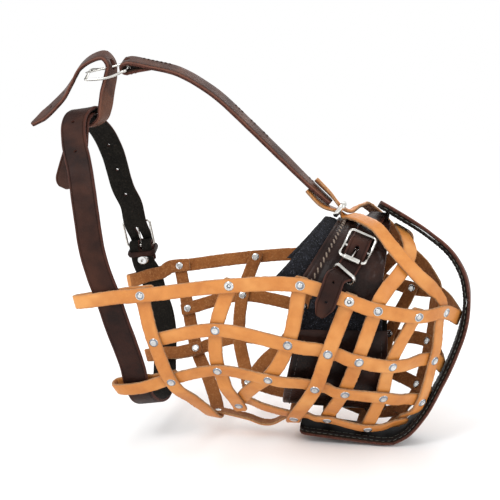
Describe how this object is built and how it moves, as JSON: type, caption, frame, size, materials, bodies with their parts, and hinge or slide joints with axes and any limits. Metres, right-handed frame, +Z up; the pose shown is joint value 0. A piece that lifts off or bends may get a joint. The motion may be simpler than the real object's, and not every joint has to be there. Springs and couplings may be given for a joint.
{
  "type": "basket muzzle",
  "caption": "Riveted leather basket muzzle with a padded nose cuff, a stiff front bumper, buckled neck, forehead and nose straps, and an open cage that lets a dog pant.",
  "frame": {"origin": "middle of the opening that the snout enters", "axes": "+X towards the nose along the snout, +Z up, +Y towards the left side of the dog"},
  "size_m": [0.3538, 0.1633, 0.3094],
  "materials": {
    "tan_leather": "smooth grain with a soft waxed sheen, fuzzy flesh side",
    "brown_leather": "oiled, creased near the edges",
    "dark_leather": "oiled, satin",
    "black_leather": "satin with pale stitching",
    "nickel": "bright nickel, lightly worn",
    "felt": "dense speckled felt"
  },
  "bodies": {
    "muzzle": {"rim_rivet_1_right": "nickel", "rim_rivet_2_right": "nickel", "rim_rivet_3_right": "nickel", "rim_rivet_4_right": "nickel", "rim_rivet_5_right": "nickel", "rim_rivet_6_right": "nickel", "rim_rivet_7_right": "nickel", "rim_rivet_1_left": "nickel", "rim_rivet_2_left": "nickel", "rim_rivet_3_left": "nickel", "rim_rivet_4_left": "nickel", "rim_rivet_5_left": "nickel", "rim_rivet_6_left": "nickel", "rim_rivet_7_left": "nickel", "rim_band": "tan_leather", "second_band": "tan_leather", "third_band": "tan_leather", "lower_band": "tan_leather", "keel_strap": "tan_leather", "hoop_1": "tan_leather", "hoop_4": "tan_leather", "hoop_5": "tan_leather", "hoop_6": "tan_leather", "hoop_2_right": "tan_leather", "hoop_2_left": "tan_leather", "hoop_3_right": "tan_leather", "hoop_3_left": "tan_leather", "long_strap_right": "tan_leather", "long_strap_left": "tan_leather", "bumper_outer": "brown_leather", "bumper_lining": "black_leather", "nose_cuff_leather": "dark_leather", "nose_cuff_felt": "felt", "jaw_cuff_leather": "dark_leather", "jaw_cuff_felt": "felt", "neck_strap": "dark_leather", "neck_chape_rivet": "nickel", "far_neck_strap": "dark_leather", "forehead_strap": "brown_leather", "crown_tab": "brown_leather", "noseband_strap": "dark_leather", "noseband_chape": "dark_leather"},
    "neck_frame": {"neck_buckle_frame": "nickel"},
    "neck_prong": {"neck_buckle_prong": "nickel"},
    "neck_keeper": {"neck_keeper": "dark_leather"},
    "crown_frame": {"crown_buckle_frame": "nickel"},
    "crown_prong": {"crown_buckle_prong": "nickel"},
    "noseband_frame": {"noseband_buckle_frame": "nickel"},
    "noseband_prong": {"noseband_buckle_prong": "nickel"},
    "noseband_roller": {"noseband_roller": "nickel"},
    "noseband_keeper": {"noseband_keeper": "nickel"},
    "nose_slide": {"nose_slide": "nickel"}
  },
  "joints": [
    {"name": "neck_frame_lift", "type": "hinge", "parent": "muzzle", "child": "neck_frame", "pos_m": [-0.047, 0.0683, 0.058], "axis": [-0.9921, -0.001, -0.1256], "range_deg": [0, 5]},
    {"name": "neck_prong_lift", "type": "hinge", "parent": "neck_frame", "child": "neck_prong", "pos_m": [-0.047, 0.0683, 0.058], "axis": [-0.9921, -0.001, -0.1256], "range_deg": [0, 6]},
    {"name": "neck_keeper_slide", "type": "slide", "parent": "muzzle", "child": "neck_keeper", "axis": [-0.1201, -0.2853, 0.9509], "range_m": [-0.0005, 0.0015]},
    {"name": "crown_frame_lift", "type": "hinge", "parent": "muzzle", "child": "crown_frame", "pos_m": [-0.038, 0, 0.2105], "axis": [-0.0837, 0.9151, 0.3945], "range_deg": [-1, 2]},
    {"name": "crown_prong_lift", "type": "hinge", "parent": "crown_frame", "child": "crown_prong", "pos_m": [-0.038, 0, 0.2105], "axis": [-0.0837, 0.9151, 0.3945], "range_deg": [0, 2]},
    {"name": "noseband_frame_tilt", "type": "hinge", "parent": "muzzle", "child": "noseband_frame", "pos_m": [0.1465, -0.05026, 0.07425], "axis": [-0.9269, 0.1136, 0.3578], "range_deg": [0, 2]},
    {"name": "noseband_prong_lift", "type": "hinge", "parent": "noseband_frame", "child": "noseband_prong", "pos_m": [0.1465, -0.05026, 0.07425], "axis": [-0.9269, 0.1136, 0.3578], "range_deg": [0, 4]},
    {"name": "noseband_roller_spin", "type": "hinge", "parent": "noseband_frame", "child": "noseband_roller", "pos_m": [0.1429, -0.06132, 0.06843], "axis": [0.9269, -0.1136, -0.3578], "continuous": true},
    {"name": "noseband_keeper_slide", "type": "slide", "parent": "muzzle", "child": "noseband_keeper", "axis": [-0.4989, -0.7834, -0.3708], "range_m": [0, 0.0005]},
    {"name": "nose_slide_slide", "type": "slide", "parent": "muzzle", "child": "nose_slide", "axis": [-0.7828, 0, 0.6222], "range_m": [-0.0005, 0.001]}
  ]
}
